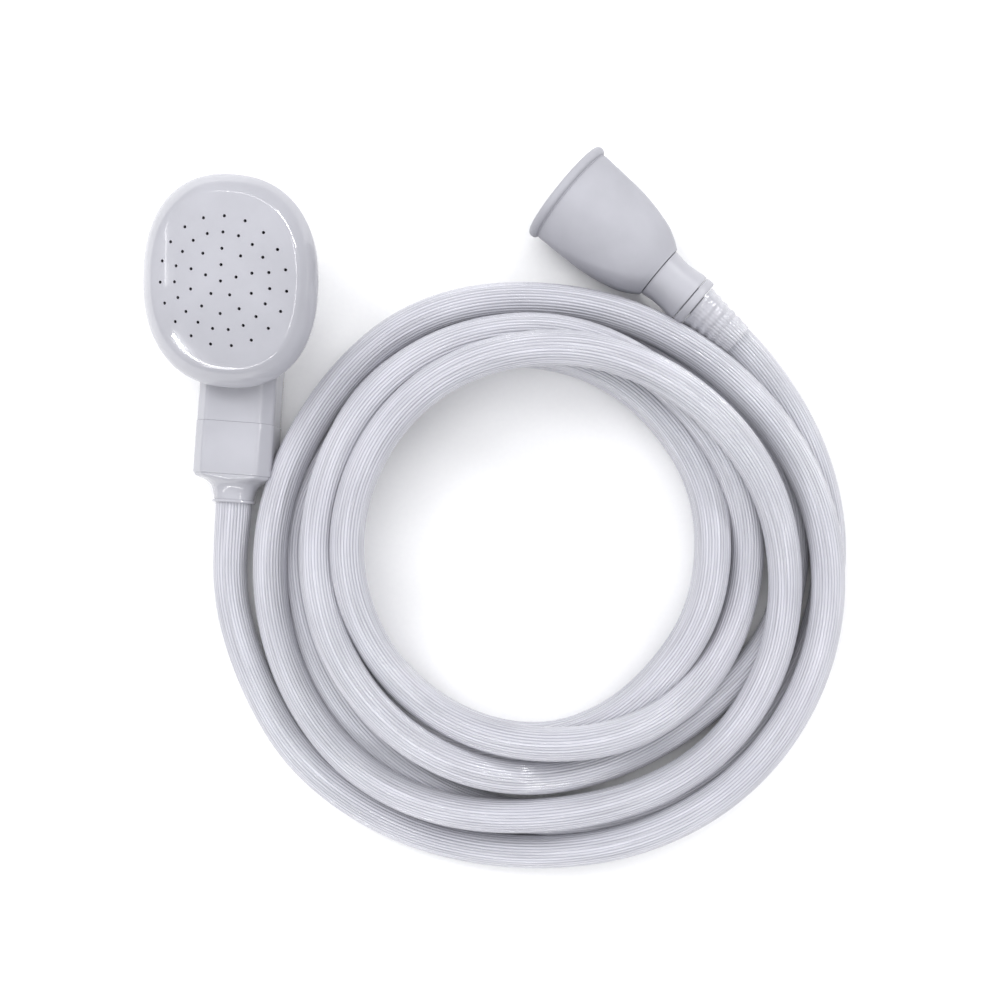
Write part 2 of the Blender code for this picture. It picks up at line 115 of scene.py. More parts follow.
# The hose.
HOSE_RADIUS = 7.0
HOSE_RIBS = 34
POINTS_PER_RIB = 4
RIB_DEPTH = 0.33
HOSE_STEP = 4.0
END_SWELL = 0.45
SWELL_MIDDLE = 6
SWELL_LENGTH = 16
TWIST_LENGTH = 900.0
UV_PER_METRE = 10

# Laying the coil: two points are on one strand when they are this near along the hose.
SAME_STRAND = 60
BESIDE_UNTIL = 2 * HOSE_RADIUS + 0.1
BESIDE_FROM = 1.6 * HOSE_RADIUS
REST_DISTANCE = 1.9 * HOSE_RADIUS
NO_LIFT = -1000
PUSH_SHARE = 0.25
HOME_SHARE = 0.08
SPREAD_ROUNDS = 80
SETTLE_ROUNDS = 260
SAG = 0.15

# The coil's plan: a radius every 45 degrees, from the head's end to the tap's.
FIRST_HIDDEN_CONTROL = 27
LAST_HIDDEN_CONTROL = 47
COIL_CENTRE = Vector((132.0, -74.8))
COIL_TURN_OFFSET = 4.13
COIL_FIRST_ANGLE = 225.0
CONTROL_STEP = 45.0
POINTS_PER_CONTROL = 12
COIL_RADII = (
    134.5, 127, 125,
    117.5, 106, 104.5, 110.5, 115.5, 120.5, 109.5, 109,
    99, 86.5, 82, 81, 80.5, 80.5, 78.5, 84.5,
    85.5, 84.5, 90.5, 93.5, 93, 95, 94, 95,
    110, 102, 97, 94, 92, 89.5, 84, 77,
    75, 80.5, 86, 86.5, 86, 82, 80, 71,
    70.5, 75, 85, 97.5, 104, 108.5, 113.5, 118,
    121, 119.5,
)

# The tails: plan points from the head's boot, and distances along the adapter's axis.
HEAD_TAIL = ((0, -61), (0, -66), (-0.2, -72), (-0.9, -80), (-1.4, -88), (-0.7, -98), (4.6, -119),
             (20.4, -150.3))
TAP_TAIL_DISTANCES = (95.0, 88.0, 81.0)
TAIL_POINTS = 8
HELD_AT_TAP = 5


def place_camera():
    bpy.context.scene.view_settings.view_transform = "Standard"
    height = CAMERA_PLACE[2] * MM
    camera = bpy.data.cameras.new("camera")
    camera.sensor_width = SENSOR
    camera.lens = SENSOR * height / (VIEW_ACROSS * MM)
    camera.shift_x, camera.shift_y = VIEW_SHIFT
    camera.clip_start = 0.01
    holder = loose_object("camera", camera)
    holder.location = tuple(value * MM for value in CAMERA_PLACE)
    holder.rotation_euler = (0, 0, math.radians(CAMERA_TURN))
    bpy.context.scene.camera = holder


def place_lights():
    for name, place, width, length, power, mirrored in SOFT_BOXES:
        light = bpy.data.lights.new(name, "AREA")
        light.shape = "RECTANGLE"
        light.size = width
        light.size_y = length
        light.energy = power
        holder = loose_object(name, light)
        holder.location = place
        towards = Vector(LIGHTS_AIM) - Vector(place)
        holder.rotation_euler = towards.to_track_quat("-Z", "Y").to_euler()
        holder.visible_glossy = mirrored
    world = bpy.data.worlds.new("studio")
    world.use_nodes = True
    background = world.node_tree.nodes["Background"]
    background.inputs["Color"].default_value = SKY_COLOUR
    background.inputs["Strength"].default_value = SKY_STRENGTH
    bpy.context.scene.world = world


def lay_floor():
    bpy.ops.mesh.primitive_plane_add(size=FLOOR_SIDE, location=FLOOR_PLACE)
    plane = bpy.context.object
    plane.name = "studio_floor"
    plane.data.materials.append(floor_material())


# ---------------------------------------------------------------- materials

class Nodes:
    """Adds nodes to a new material and links them, in one line each."""

    def __init__(self, name):
        self.material = bpy.data.materials.new(name)
        self.material.use_nodes = True
        self.tree = self.material.node_tree
        self.shader = self.tree.nodes["Principled BSDF"]

    def add(self, kind, **inputs):
        node = self.tree.nodes.new(kind)
        self.fill(node, inputs)
        return node

    def fill(self, node, inputs):
        for key, value in inputs.items():
            node.inputs[key.replace("_", " ")].default_value = value

    def link(self, source, target):
        self.tree.links.new(source, target)

    def drive(self, **sources):
        """Links outputs to the shader's inputs, such as Base_Color."""
        for key, source in sources.items():
            self.link(source, self.shader.inputs[key.replace("_", " ")])

    def finish(self, **values):
        """Gives the shader its even values, such as Coat_Weight, and hands over the material."""
        self.fill(self.shader, values)
        return self.material

    def place(self, kind="Object"):
        return self.tree.nodes.new("ShaderNodeTexCoord").outputs[kind]

    def stretch(self, vector, scale):
        node = self.add("ShaderNodeMapping", Scale=scale)
        self.link(vector, node.inputs["Vector"])
        return node.outputs["Vector"]

    def noise(self, coordinates, scale, detail=3.0, roughness=0.5):
        node = self.add("ShaderNodeTexNoise", Scale=scale, Detail=detail, Roughness=roughness)
        self.link(coordinates, node.inputs["Vector"])
        return node.outputs["Fac"]

    def ramp(self, value, low, high, start=0.0, end=1.0):
        node = self.tree.nodes.new("ShaderNodeValToRGB")
        for element, position, colour in zip(node.color_ramp.elements, (start, end), (low, high)):
            element.position = position
            element.color = (*colour, 1)
        self.link(value, node.inputs["Fac"])
        return node.outputs["Color"]

    def span(self, value, low, high):
        node = self.tree.nodes.new("ShaderNodeMapRange")
        node.inputs["To Min"].default_value = low
        node.inputs["To Max"].default_value = high
        self.link(value, node.inputs["Value"])
        return node.outputs["Result"]

    def arithmetic(self, operation, value, number):
        node = self.tree.nodes.new("ShaderNodeMath")
        node.operation = operation
        node.inputs[1].default_value = number
        self.link(value, node.inputs[0])
        return node.outputs["Value"]

    def multiply(self, first, second):
        node = self.tree.nodes.new("ShaderNodeMix")
        node.data_type = "RGBA"
        node.blend_type = "MULTIPLY"
        node.inputs["Factor"].default_value = 1.0
        self.link(first, node.inputs["A"])
        self.link(second, node.inputs["B"])
        return node.outputs["Result"]

    def bump(self, value, strength, distance, below=None):
        node = self.add("ShaderNodeBump", Strength=strength, Distance=distance)
        self.link(value, node.inputs["Height"])
        if below is not None:
            self.link(below, node.inputs["Normal"])
        return node.outputs["Normal"]


def shade(colour, factor):
    return tuple(channel * factor for channel in colour)


def moulded(name, colour, roughness, coat=0.0, grain=0.25, mottling=0.04, subsurface=0.0):
    """Injection-moulded plastic or rubber: faint mottling, uneven gloss and a fine skin."""
    nodes = Nodes(name)
    place = nodes.place()
    cloudy = nodes.noise(place, scale=55, detail=4)
    fine = nodes.noise(place, scale=900, detail=3)
    skin = nodes.noise(place, scale=4200, detail=2)
    wavy = nodes.bump(cloudy, strength=0.12, distance=0.0008)
    nodes.drive(
        Base_Color=nodes.ramp(cloudy, shade(colour, 1 - mottling), shade(colour, 1 + mottling),
                              0.3, 0.7),
        Roughness=nodes.span(fine, roughness * 0.85, roughness * 1.2),
        Normal=nodes.bump(skin, strength=grain, distance=0.00004, below=wavy))
    return nodes.finish(Coat_Weight=coat, Coat_Roughness=0.04, IOR=1.48,
                        Subsurface_Weight=subsurface, Subsurface_Radius=(1.0, 0.9, 0.9),
                        Subsurface_Scale=0.0015)


def hose_material():
    """Glossy PVC with painted shade in its grooves; its ribs differ a little in tone along and
    around the hose.
    """
    nodes = Nodes("ribbed_pvc")
    uv = nodes.place("UV")
    streaks = nodes.noise(nodes.stretch(uv, (HOSE_RIBS * 1.0, 2.5, 1.0)), scale=1.0, detail=3)
    place = nodes.place()
    cloudy = nodes.noise(place, scale=40, detail=3)
    fine = nodes.noise(place, scale=1500, detail=2)
    parts = nodes.add("ShaderNodeSeparateXYZ")
    nodes.link(uv, parts.inputs["Vector"])
    rib_count = nodes.arithmetic("MULTIPLY", parts.outputs["X"], HOSE_RIBS)
    across_rib = nodes.arithmetic("PINGPONG", rib_count, 0.5)
    tone = nodes.ramp(streaks, shade(HOSE_GREY, 0.8), shade(HOSE_GREY, 1.1), 0.3, 0.7)
    mottles = nodes.ramp(cloudy, (0.94, 0.94, 0.95), WHITE, 0.3, 0.7)
    # painted shade: the colour darkens to 0.8 towards the bottom of each rib's groove
    grooves = nodes.ramp(across_rib, (0.8, 0.8, 0.83), WHITE, 0.0, 0.3)
    nodes.drive(Base_Color=nodes.multiply(nodes.multiply(tone, mottles), grooves),
                Roughness=nodes.span(streaks, 0.1, 0.26),
                Normal=nodes.bump(fine, strength=0.05, distance=0.00005))
    return nodes.finish(Coat_Weight=1.0, Coat_Roughness=0.05, Subsurface_Weight=0.15,
                        Subsurface_Radius=(1.0, 0.95, 0.9), Subsurface_Scale=0.002)


def metal_material():
    nodes = Nodes("brushed_steel")
    lines = nodes.noise(nodes.stretch(nodes.place(), (1.0, 30.0, 1.0)), scale=150, detail=4)
    nodes.drive(Base_Color=nodes.ramp(lines, (0.5, 0.5, 0.52), (0.68, 0.68, 0.7), 0.3, 0.7),
                Roughness=nodes.span(lines, 0.25, 0.42))
    return nodes.finish(Metallic=1.0)


def floor_material():
    nodes = Nodes("paper_floor")
    paper = nodes.noise(nodes.place(), scale=500, detail=4)
    nodes.drive(Base_Color=nodes.ramp(paper, (0.86, 0.86, 0.87), (0.9, 0.9, 0.9)))
    return nodes.finish(Roughness=0.9, Specular_IOR_Level=0.1)


# ---------------------------------------------------------------- shapes

def loose_object(name, data):
    thing = bpy.data.objects.new(name, data)
    bpy.context.scene.collection.objects.link(thing)
    return thing


def finish_piece(name, mesh, material, body, nodes, sharp=40, matrix=None):
    """Makes an object of the mesh, in the part's frame, that stands for its CAD nodes."""
    if matrix is not None:
        mesh.transform(matrix)
    piece = loose_object(name, mesh)
    mesh.materials.clear()
    mesh.materials.append(material)
    mesh.shade_smooth()
    mesh.set_sharp_from_angle(angle=math.radians(sharp))
    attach(piece, body)
    if nodes:
        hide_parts(*nodes)
    return piece


def grid_mesh(name, rings, closed_along=False, cap=False):
    """Joins equal rings of points, in millimetres, into one mesh with outward faces."""
    bm = bmesh.new()
    rows = [[bm.verts.new(Vector(point) * MM) for point in ring] for ring in rings]
    pairs = list(zip(rows, rows[1:]))
    if closed_along:
        pairs.append((rows[-1], rows[0]))
    count = len(rows[0])
    for near, far in pairs:
        for index in range(count):
            after = (index + 1) % count
            bm.faces.new((near[index], near[after], far[after], far[index]))
    if cap:
        bm.faces.new(list(reversed(rows[0])))
        bm.faces.new(rows[-1])
    bmesh.ops.remove_doubles(bm, verts=bm.verts, dist=MERGE_DISTANCE)
    bmesh.ops.recalc_face_normals(bm, faces=bm.faces)
    mesh = bpy.data.meshes.new(name)
    bm.to_mesh(mesh)
    bm.free()
    return mesh


def smooth_line(points, steps):
    """A Catmull-Rom curve through the points, with the given steps between each two."""
    points = [np.array(point, dtype=float) for point in points]
    padded = [2 * points[0] - points[1]] + points + [2 * points[-1] - points[-2]]
    line = []
    for before, start, end, after in zip(padded, padded[1:], padded[2:], padded[3:]):
        for step in range(steps):
            t = step / steps
            line.append(0.5 * (2 * start + (end - before) * t
                               + (2 * before - 5 * start + 4 * end - after) * t * t
                               + (3 * start - before - 3 * end + after) * t ** 3))
    line.append(points[-1])
    return line


def turned(name, profile, sides):
    """Turns a closed (radius, height) outline about local Z."""
    rings = []
    for radius, height in profile:
        ring = []
        for side in range(sides):
            angle = math.tau * side / sides
            ring.append((radius * math.cos(angle), radius * math.sin(angle), height))
        rings.append(ring)
    return grid_mesh(name, rings, closed_along=True)


def oval(radius, height, sides):
    """A ring in the head's squarish oval outline."""
    power = 2 / HEAD_SQUARENESS
    ring = []
    for side in range(sides):
        angle = math.tau * side / sides
        across = math.cos(angle)
        along = math.sin(angle)
        ring.append((radius * math.copysign(abs(across) ** power, across),
                     HEAD_STRETCH * radius * math.copysign(abs(along) ** power, along), height))
    return ring


def head_frame():
    return Matrix.Translation(HEAD_CENTRE) @ Matrix.Rotation(HEAD_TILT, 4, "X")


def adapter_axis():
    return (ADAPTER_END - CUP_MOUTH).normalized()


def adapter_frame():
    turn = (-adapter_axis()).to_track_quat("Z", "X").to_matrix().to_4x4()
    return Matrix.Translation(CUP_MOUTH * MM) @ turn


def on_adapter(distance):
    """The point on the adapter's axis at a distance from the cup's mouth."""
    return np.array(CUP_MOUTH + adapter_axis() * distance)


# ---------------------------------------------------------------- hose

def coil_plan():
    """Plan points around the coil: its radius changes smoothly with the angle, turn after turn."""
    first = COIL_FIRST_ANGLE + COIL_TURN_OFFSET
    controls = [(first + CONTROL_STEP * index, radius) for index, radius in enumerate(COIL_RADII)]
    points = []
    for degrees, radius in smooth_line(controls, POINTS_PER_CONTROL):
        angle = math.radians(degrees)
        points.append((COIL_CENTRE.x + radius * math.cos(angle),
                       COIL_CENTRE.y + radius * math.sin(angle)))
    return points


def travelled(line):
    """How far along the line each of its points lies."""
    return np.concatenate([[0], np.cumsum(np.linalg.norm(np.diff(line, axis=0), axis=1))])


def even_steps(line, step):
    """The line again, with its points a step apart."""
    line = np.array(line)
    lengths = travelled(line)
    count = max(2, int(round(lengths[-1] / step)) + 1)
    places = np.linspace(0, lengths[-1], count)
    columns = [np.interp(places, lengths, column) for column in line.T]
    return np.stack(columns, axis=1)


def hole_outline():
    """The smallest radius that a buried turn has in each of the coil's directions."""
    around = int(360 / CONTROL_STEP)
    buried = range(FIRST_HIDDEN_CONTROL, LAST_HIDDEN_CONTROL + 1)
    return [min(COIL_RADII[control] for control in buried if control % around == direction)
            for direction in range(around)]


def keep_out_of_hole(plan):
    """The plan again, with no point inside the outline of the coil's hole."""
    offset = plan - np.array(COIL_CENTRE)
    radius = np.linalg.norm(offset, axis=1)
    angle = np.degrees(np.arctan2(offset[:, 1], offset[:, 0]))
    turned = (angle - COIL_FIRST_ANGLE - COIL_TURN_OFFSET) % 360
    outline = hole_outline()
    directions = np.arange(len(outline) + 1) * CONTROL_STEP
    least = np.interp(turned, directions, outline + outline[:1])
    return np.array(COIL_CENTRE) + offset * (np.maximum(radius, least) / radius)[:, None]


def spread_sideways(plan, moves):
    """Slides the buried turns until they don't almost lie side by side with any other turn."""
    home = plan.copy()
    index = np.arange(len(plan))
    far = np.abs(index[:, None] - index[None, :]) > int(SAME_STRAND / HOSE_STEP)
    for _ in range(SPREAD_ROUNDS):
        gaps = plan[:, None, :] - plan[None, :, :]
        distance = np.linalg.norm(gaps, axis=2) + 1e-9
        beside = far & (distance < BESIDE_UNTIL) & (distance > BESIDE_FROM)
        push = np.where(beside, (BESIDE_UNTIL - distance) * PUSH_SHARE, 0)
        move = smooth_rows((gaps / distance[:, :, None] * push[:, :, None]).sum(axis=1), 8)
        plan = plan + moves[:, None] * (move + HOME_SHARE * (home - plan))
        plan = plan + moves[:, None] * (keep_out_of_hole(smooth_rows(plan, 4)) - plan)
    plan = plan + moves[:, None] * (keep_out_of_hole(smooth_rows(plan, 30)) - plan)
    return smooth_rows(plan, 12)


def smooth_rows(values, passes):
    """The values again, each moved towards the mean of its neighbours in every pass."""
    values = values.copy()
    for _ in range(passes):
        values[1:-1] += 0.5 * (0.5 * (values[:-2] + values[2:]) - values[1:-1])
    return values


def settle(plan, head_heights, tap_heights):
    """Heights of the hose, laid from the tap end: each turn rests on those laid before it."""
    count = len(plan)
    index = np.arange(count)
    gaps = np.linalg.norm(plan[:, None, :] - plan[None, :, :], axis=2)
    later = (index[None, :] - index[:, None]) > int(SAME_STRAND / HOSE_STEP)
    near = later & (gaps < REST_DISTANCE)
    lift = np.where(near, np.sqrt(np.maximum(REST_DISTANCE ** 2 - gaps ** 2, 0)), NO_LIFT)
    height = np.full(count, HOSE_RADIUS)
    for _ in range(SETTLE_ROUNDS):
        needed = np.maximum(HOSE_RADIUS, (height[None, :] + lift).max(axis=1))
        height = np.maximum(smooth_rows(height - SAG, 3), needed)
        height[:len(head_heights)] = head_heights
        height[-len(tap_heights):] = tap_heights
    height = np.maximum(smooth_rows(height, 30), HOSE_RADIUS + 0.1)
    return smooth_rows(height, 10)


def hose_route():
    """The whole hose's centreline, in millimetres."""
    axis = [on_adapter(distance)[:2] for distance in TAP_TAIL_DISTANCES]
    coil = coil_plan()
    half = POINTS_PER_CONTROL // 2
    head_end = smooth_line(list(HEAD_TAIL) + [coil[0], coil[half]], TAIL_POINTS)[:-TAIL_POINTS]
    tap_end = smooth_line([coil[-1 - half], coil[-1]] + axis, TAIL_POINTS)[TAIL_POINTS:]
    joined = np.array(head_end[:-1] + coil + tap_end[1:])
    plan = even_steps(joined, HOSE_STEP)
    travel = travelled(joined)
    first, last = (int(travel[len(head_end) - 1 + POINTS_PER_CONTROL * control] / HOSE_STEP)
                   for control in (FIRST_HIDDEN_CONTROL, LAST_HIDDEN_CONTROL))
    moves = np.zeros(len(plan))
    moves[first:last] = 1.0
    plan = spread_sideways(plan, smooth_rows(moves, 60))
    held = [TAP_TAIL_DISTANCES[-1] + HOSE_STEP * place for place in range(HELD_AT_TAP)]
    tap_heights = [on_adapter(distance)[2] for distance in reversed(held)]
    height = settle(plan, [AXIS_HEIGHT, AXIS_HEIGHT], tap_heights)
    return even_steps(np.column_stack([plan, height]), HOSE_STEP)


def shade_along(mesh, around, count):
    """UVs for the hose's streaks: U once round the hose, V along it."""
    layer = mesh.uv_layers.new(name="along_hose")
    loops = np.zeros(len(mesh.loops), dtype=np.int32)
    mesh.loops.foreach_get("vertex_index", loops)
    coords = np.zeros((len(loops), 2), dtype=np.float32)
    side = loops % around
    coords[:, 0] = side / around
    coords[:, 1] = (loops // around) * HOSE_STEP * MM * UV_PER_METRE
    last = np.zeros(len(loops), dtype=bool)
    quads = (count - 1) * around * 4
    corner = np.arange(quads) % 4
    last[:quads] = (side[:quads] == 0) & ((corner == 1) | (corner == 2))
    coords[last, 0] = 1.0
    layer.data.foreach_set("uv", coords.ravel())


def ribbed_tube(name, route):
    """A tube of fine lengthwise ribs along the route, with its caps closed."""
    around = HOSE_RIBS * POINTS_PER_RIB
    count = len(route)
    tangents = np.gradient(route, axis=0)
    tangents /= np.linalg.norm(tangents, axis=1)[:, None]
    up = np.array([0.0, 0.0, 1.0])
    sideways = np.cross(tangents, up)
    sideways /= np.linalg.norm(sideways, axis=1)[:, None]
    normal = np.cross(sideways, tangents)
    along = np.arange(count) * HOSE_STEP
    swell = END_SWELL * np.exp(-((along - SWELL_MIDDLE) / SWELL_LENGTH) ** 2)
    angle = np.arange(around) * math.tau / around
    crest = -RIB_DEPTH * np.cos(np.arange(around) * math.tau / POINTS_PER_RIB).clip(0)
    twist = along / TWIST_LENGTH
    turn = angle[None, :] + twist[:, None]
    radius = HOSE_RADIUS + crest[None, :] + swell[:, None]
    outward = (np.cos(turn)[:, :, None] * sideways[:, None, :]
               + np.sin(turn)[:, :, None] * normal[:, None, :])
    points = route[:, None, :] + radius[:, :, None] * outward
    vertices = (points.reshape(-1, 3) * MM).tolist()
    faces = []
    for row in range(count - 1):
        for side in range(around):
            after = (side + 1) % around
            faces.append((row * around + side, row * around + after,
                          (row + 1) * around + after, (row + 1) * around + side))
    faces.append(tuple(reversed(range(around))))
    faces.append(tuple((count - 1) * around + side for side in range(around)))
    mesh = bpy.data.meshes.new(name)
    mesh.from_pydata(vertices, [], faces)
    shade_along(mesh, around, count)
    bm = bmesh.new()
    bm.from_mesh(mesh)
    bmesh.ops.recalc_face_normals(bm, faces=bm.faces)
    bm.to_mesh(mesh)
    bm.free()
    return mesh


def make_hose(material):
    route = hose_route()
    mesh = ribbed_tube("hose", route)
    hose = finish_piece("hose", mesh, material, HOSE_SET,
                        ("hose_head_tail", "hose_coil", "hose_tap_tail"), sharp=75)
    length = float(np.linalg.norm(np.diff(route, axis=0), axis=1).sum()) * MM
    print("hose length", round(length, 3), "m, top", round(float(route[:, 2].max()), 1))
    return hose, route, length


# ---------------------------------------------------------------- spray head

# (radius, height) above the split, from the face's middle out and back again inside.
FACE_OUTER = ((0, 9.0), (8, 8.55), (16, 7.15), (22, 5.4), (26, 4.0), (28.2, 3.1), (29.4, 2.3),
              (30.5, 1.2), (31.9, -0.5), (33.3, -2.6), (34.3, -4.5), (34.8, -5.85))
FACE_INNER = ((32.8, -5.85), (32.0, -3.2), (30.2, -1.2), (26, 1.2), (20, 3.8), (10, 6.3), (0, 7.0))
CUTTER_LENGTH = 30


def hole_places():
    """The spray holes: one in the middle, and rings of evenly spaced ones."""
    places = [(0.0, 0.0)]
    for ring, count in enumerate(HOLE_RINGS, start=1):
        for index in range(count):
            angle = math.tau * index / count
            places.append((math.sin(angle) * ring * HOLE_PITCH,
                           math.cos(angle) * ring * HOLE_PITCH))
    return places


def applied(piece, name):
    """The mesh that the object has with its modifiers, on its own."""
    graph = bpy.context.evaluated_depsgraph_get()
    mesh = bpy.data.meshes.new_from_object(piece.evaluated_get(graph))
    mesh.name = name
    return mesh


def remove(*things):
    for thing in things:
        bpy.data.objects.remove(thing, do_unlink=True)


def combine(base, other, operation):
    boolean = base.modifiers.new(operation, "BOOLEAN")
    boolean.operation = operation
    boolean.solver = "EXACT"
    boolean.object = other


def make_face_plate(material):
    """The domed rose, drilled through with the spray holes."""
    outline = smooth_line(FACE_OUTER, 5) + smooth_line(FACE_INNER, 4)
    rings = [oval(max(radius, CENTRE_RADIUS), height, 160) for radius, height in outline]
    mesh = grid_mesh("face_plate", rings, closed_along=True)
    plate = loose_object("plate_work", mesh)
    bm = bmesh.new()
    for x, y in hole_places():
        bmesh.ops.create_cone(bm, cap_ends=True, segments=20, radius1=HOLE_RADIUS * MM,
                              radius2=HOLE_RADIUS * MM, depth=CUTTER_LENGTH * MM,
                              matrix=Matrix.Translation((x * MM, y * MM, 0)))
    cutter_mesh = bpy.data.meshes.new("hole_work")
    bm.to_mesh(cutter_mesh)
    bm.free()
    cutter = loose_object("hole_work", cutter_mesh)
    combine(plate, cutter, "DIFFERENCE")
    cut_mesh = applied(plate, "face_plate")
    remove(plate, cutter)
    return finish_piece("face_shell", cut_mesh, material, HANDSET, ("face_plate",),
                        sharp=50, matrix=head_frame())


def eight_sided(half_width, bottom, top, chamfer, y, roundness=0.0, round_radius=0.0, corner=1.4):
    """An eight-sided section at y with small round corners, blended towards a circle."""
    middle = (bottom + top) / 2
    half_height = (top - bottom) / 2
    flat_x = half_width - chamfer
    flat_z = half_height - chamfer
    quarter = [Vector((half_width, flat_z)), Vector((flat_x, half_height))]
    upper = quarter + [Vector((-x, z)) for x, z in reversed(quarter)]
    corners = upper + [-corner_point for corner_point in upper]
    ring = []
    count = len(corners)
    for index, here in enumerate(corners):
        before = corners[index - 1]
        after = corners[(index + 1) % count]
        start = here + (before - here).normalized() * corner
        end = here + (after - here).normalized() * corner
        for step in range(5):
            t = step / 4
            ring.append(start * (1 - t) ** 2 + here * 2 * t * (1 - t) + end * t * t)
        next_start = after + (here - after).normalized() * corner
        for step in (1, 2, 3):
            ring.append(end.lerp(next_start, step / 4))
    points = []
    for point in ring:
        point = point.lerp(point.normalized() * round_radius, roundness)
        points.append((point.x, y, middle + point.y))
    return points


def bowl_profile(wall):
    """(radius, height) down the bowl's side, from its rim to the middle of its back."""
    rim = HEAD_HALF_WIDTH - wall
    back = HEAD_BACK + wall
    depth = SPLIT - back
    steps = 24
    profile = []
    for step in range(steps + 1):
        angle = math.radians(90 * step / steps)
        radius = max(CENTRE_RADIUS, rim * max(math.cos(angle), 0.0) ** 0.85)
        profile.append((radius, SPLIT - SPLIT_GAP - depth * math.sin(angle)))
    return profile


def neck_rings(wall, start):
    """Sections of the neck, a wall's thickness in, from its start to inside the head."""
    places = [(start, 0.0, 26.0, 15.9), (-12.0, 0.0, 26.0, 15.9), (-2.0, 0.0, 26.8, 15.9),
              (6.0, 0.3, 29.0, 15.9), (15.0, 2.8, 34.0, 15.5), (23.0, 8.3, 37.0, 14.2),
              (30.0, 16.0, 39.0, 11.5), (35.0 - wall, 24.0, 39.0, 8.0)]
    chamfer = NECK_CHAMFER - 0.4 * wall
    return [eight_sided(half_width - wall, bottom + wall, top - wall, chamfer, y)
            for y, bottom, top, half_width in smooth_line(places, 4)]


def work_solid(name, rings, matrix=None):
    """A closed loft of the rings, to be joined or cut."""
    solid = loose_object(name, grid_mesh(name, rings, cap=True))
    if matrix is not None:
        solid.matrix_world = matrix
    return solid


def make_rear_shell(material):
    """The bowl and the neck in one, hollowed out."""
    sides = 128
    cap_height = SPLIT - SPLIT_GAP
    outer = [(CENTRE_RADIUS, cap_height)] + bowl_profile(0.0)
    inner = ([(CENTRE_RADIUS, cap_height + 1), (HEAD_HALF_WIDTH - WALL, cap_height + 1)]
             + bowl_profile(WALL))
    shell = work_solid("shell_work", [oval(r, h, sides) for r, h in outer], head_frame())
    hollow = work_solid("hollow_work", [oval(r, h, sides) for r, h in inner], head_frame())
    neck = work_solid("neck_work", neck_rings(0.0, SEAM + SEAM_GAP))
    channel = work_solid("channel_work", neck_rings(CHANNEL_WALL, SEAM - 1.0))
    combine(shell, neck, "UNION")
    combine(shell, hollow, "DIFFERENCE")
    combine(shell, channel, "DIFFERENCE")
    bpy.context.view_layer.update()
    mesh = applied(shell, "rear_shell")
    placed = shell.matrix_world.copy()
    remove(shell, hollow, neck, channel)
    return finish_piece("back_shell", mesh, material, HANDSET, ("rear_shell",),
                        sharp=32, matrix=placed)


def collar_ring(y, inset):
    return eight_sided(COLLAR_HALF_WIDTH + inset, -inset, COLLAR_TOP + inset,
                       NECK_CHAMFER + 0.4 * inset, y)


def make_collar(material):
    """The collar: an eight-sided sleeve whose ends are eased, with a web across its top."""
    start = SEAM - SEAM_GAP
    web = 3.0
    outside = ((COLLAR_END, -0.5), (COLLAR_END + 0.15, -0.15), (COLLAR_END + 0.5, 0.0),
               (start - 0.2, 0.0), (start - 0.06, -0.04), (start, -0.12))
    inside = ((start - web, -2.4), (COLLAR_END, -2.4))
    rings = [collar_ring(y, inset) for y, inset in outside]
    rings.append([(x * 0.34, start, AXIS_HEIGHT + (z - AXIS_HEIGHT) * 0.42)
                  for x, _, z in rings[-1]])
    rings.append([(x, start - web, z) for x, _, z in rings[-1]])
    rings += [collar_ring(y, inset) for y, inset in inside]
    mesh = grid_mesh("collar_sleeve", rings, closed_along=True)
    return finish_piece("collar_sleeve", mesh, material, HOSE_SET, ("collar",),
                        sharp=50)


def make_end_cap(material):
    """The boot: its flange sweeps in to a short sleeve with a rolled lip."""
    start = COLLAR_END - 0.02
    # (distance from the collar, share of roundness, radius, half width)
    outside = ((0.0, 0.0, 12.0, 15.6), (0.3, 0.0, 12.0, 15.6), (0.9, 0.03, 12.0, 15.5),
               (1.5, 0.25, 12.6, 15.3), (2.2, 0.8, 12.4, 15.2), (3.0, 1.0, 11.2, 15.2),
               (4.4, 1.0, 9.8, 15.2), (6.2, 1.0, 9.0, 15.2), (8.5, 1.0, 8.5, 15.2),
               (10.2, 1.0, 8.3, 15.2), (10.4, 1.0, 8.75, 15.2), (11.0, 1.0, 8.9, 15.2),
               (11.4, 1.0, 8.6, 15.2))
    rings = [eight_sided(width, AXIS_HEIGHT - (width - 2.9), AXIS_HEIGHT + (width - 2.9),
                         NECK_CHAMFER, start - y, share, radius)
             for y, share, radius, width in outside]
    bore = [eight_sided(15.2, 0.7, 25.3, NECK_CHAMFER, start - y, 1.0, 7.75) for y in (11.4, 0.0)]
    mesh = grid_mesh("boot", rings + bore, closed_along=True)
    return finish_piece("boot", mesh, material, HOSE_SET, ("end_cap",), sharp=40)


# ---------------------------------------------------------------- tap adapter

def adapter_piece(name, smooth_parts, material, nodes, sides=128, sharp=40):
    """Turns smooth stretches of (radius, distance from mouth), which meet at crisp edges."""
    profile = []
    for part, steps in smooth_parts:
        profile += [(radius, -distance) for radius, distance in smooth_line(part, steps)]
    mesh = turned(name, profile, sides)
    return finish_piece(name, mesh, material, HOSE_SET, nodes, sharp=sharp,
                        matrix=adapter_frame())


